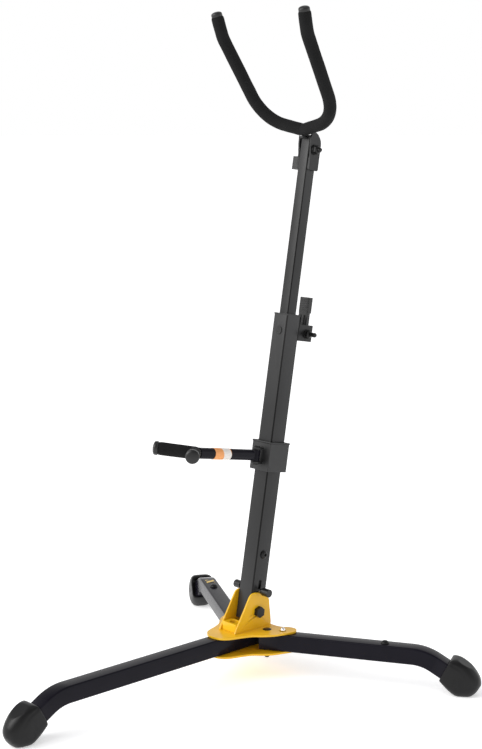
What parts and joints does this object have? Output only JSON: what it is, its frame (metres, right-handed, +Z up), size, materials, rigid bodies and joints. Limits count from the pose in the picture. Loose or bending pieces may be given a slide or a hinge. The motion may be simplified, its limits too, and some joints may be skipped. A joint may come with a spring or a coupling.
{
  "type": "instrument stand",
  "caption": "Folding floor stand for a low saxophone: three-legged base, leaning two-stage mast, sliding lower fork and a padded upper cradle.",
  "frame": {"origin": "on the floor, at the middle of the stand's width and depth", "axes": "+Z up, -Y towards the front leg and the instrument, +X to the side; the stand is symmetric about X = 0"},
  "size_m": [0.5502, 0.5454, 0.8691],
  "materials": {
    "black_steel": "satin",
    "yellow_steel": "satin",
    "grey_steel": "satin",
    "bright_steel": "gloss",
    "black_bolt": "satin",
    "rubber": "matte",
    "black_plastic": "satin",
    "foam": "matte",
    "orange_film": "satin",
    "yellow_film": "satin"
  },
  "bodies": {
    "hub": {"hub_top_plate": "yellow_steel", "hub_bottom_plate": "yellow_steel", "front_leg": "black_steel", "front_foot": "rubber", "mast_bracket": "yellow_steel", "bracket_rivets": "bright_steel", "fold_rest": "yellow_steel", "fold_rest_bolt": "bright_steel", "mast_pivot_bolt": "black_bolt", "mast_pivot_nut": "black_bolt", "leg_pivot_bolt_right": "black_bolt", "leg_pivot_bolt_left": "black_bolt", "detent_ball_right": "bright_steel", "detent_ball_left": "bright_steel"},
    "right_leg": {"rear_leg_right": "black_steel", "rear_foot_right": "rubber", "leg_bumper_right": "rubber"},
    "left_leg": {"rear_leg_left": "black_steel", "rear_foot_left": "rubber", "leg_bumper_left": "rubber", "leg_badge": "yellow_film"},
    "mast": {"lower_tube": "black_steel", "stop_screw": "bright_steel", "tube_bush": "black_plastic", "clamp_bracket": "grey_steel", "clamp_bolt": "bright_steel", "clamp_nut": "bright_steel", "clamp_shoe": "black_plastic"},
    "pin": {"lock_pin": "bright_steel", "lock_pin_knobs": "black_plastic"},
    "lever": {"clamp_lever": "black_plastic"},
    "slider": {"collar": "black_plastic", "arm_pivot_pin": "bright_steel"},
    "arm": {"support_arm": "black_steel", "arm_band": "orange_film", "fork_rod": "bright_steel", "fork_foam_right": "foam", "fork_foam_left": "foam", "fork_caps": "black_plastic"},
    "upper": {"upper_tube": "black_steel", "upper_plug": "black_plastic", "head_bolt": "bright_steel", "head_nut": "black_bolt"},
    "cradle": {"head_bracket": "grey_steel", "head_liner": "black_plastic", "cradle_rod": "bright_steel", "cradle_foam_right": "foam", "cradle_foam_left": "foam", "cradle_caps": "black_plastic"},
    "latch": {"head_latch": "black_plastic"}
  },
  "joints": [
    {"name": "mast_fold", "type": "hinge", "parent": "hub", "child": "mast", "pos_m": [0, 0.11725, 0.0818], "axis": [1, 0, 0], "range_deg": [0, 93]},
    {"name": "leg_right_fold", "type": "hinge", "parent": "hub", "child": "right_leg", "pos_m": [0.028, 0.12175, 0.046], "axis": [0, 0, 1], "range_deg": [-116, 0]},
    {"name": "leg_left_fold", "type": "hinge", "parent": "hub", "child": "left_leg", "pos_m": [-0.028, 0.12175, 0.046], "axis": [0, 0, 1], "range_deg": [0, 116]},
    {"name": "pin_lift", "type": "slide", "parent": "mast", "child": "pin", "axis": [0, 0.1736, 0.9848], "range_m": [0, 0.0112]},
    {"name": "clamp_open", "type": "hinge", "parent": "mast", "child": "lever", "pos_m": [0, 0.20974, 0.44222], "axis": [-1, 0, 0], "range_deg": [0, 100]},
    {"name": "collar_slide", "type": "slide", "parent": "mast", "child": "slider", "axis": [0, 0.1736, 0.9848], "range_m": [-0.1, 0.125]},
    {"name": "arm_swing", "type": "hinge", "parent": "slider", "child": "arm", "pos_m": [0, 0.12769, 0.28812], "axis": [0, 0.1736, 0.9848], "range_deg": [0, 90]},
    {"name": "height_slide", "type": "slide", "parent": "mast", "child": "upper", "axis": [0, 0.1736, 0.9848], "range_m": [-0.18, 0.04]},
    {"name": "cradle_fold", "type": "hinge", "parent": "upper", "child": "cradle", "pos_m": [0, 0.22404, 0.68746], "axis": [1, 0, 0], "range_deg": [0, 100]},
    {"name": "latch_pull", "type": "slide", "parent": "cradle", "child": "latch", "axis": [-1, 0, 0], "range_m": [0, 0.003], "stiffness_N_per_m": 400}
  ],
  "couplings": [
    {"joint": "pin_lift", "follows": "mast_fold", "m_per_rad": 0.0063},
    {"joint": "arm_swing", "follows": "mast_fold", "ratio": 0.95}
  ]
}
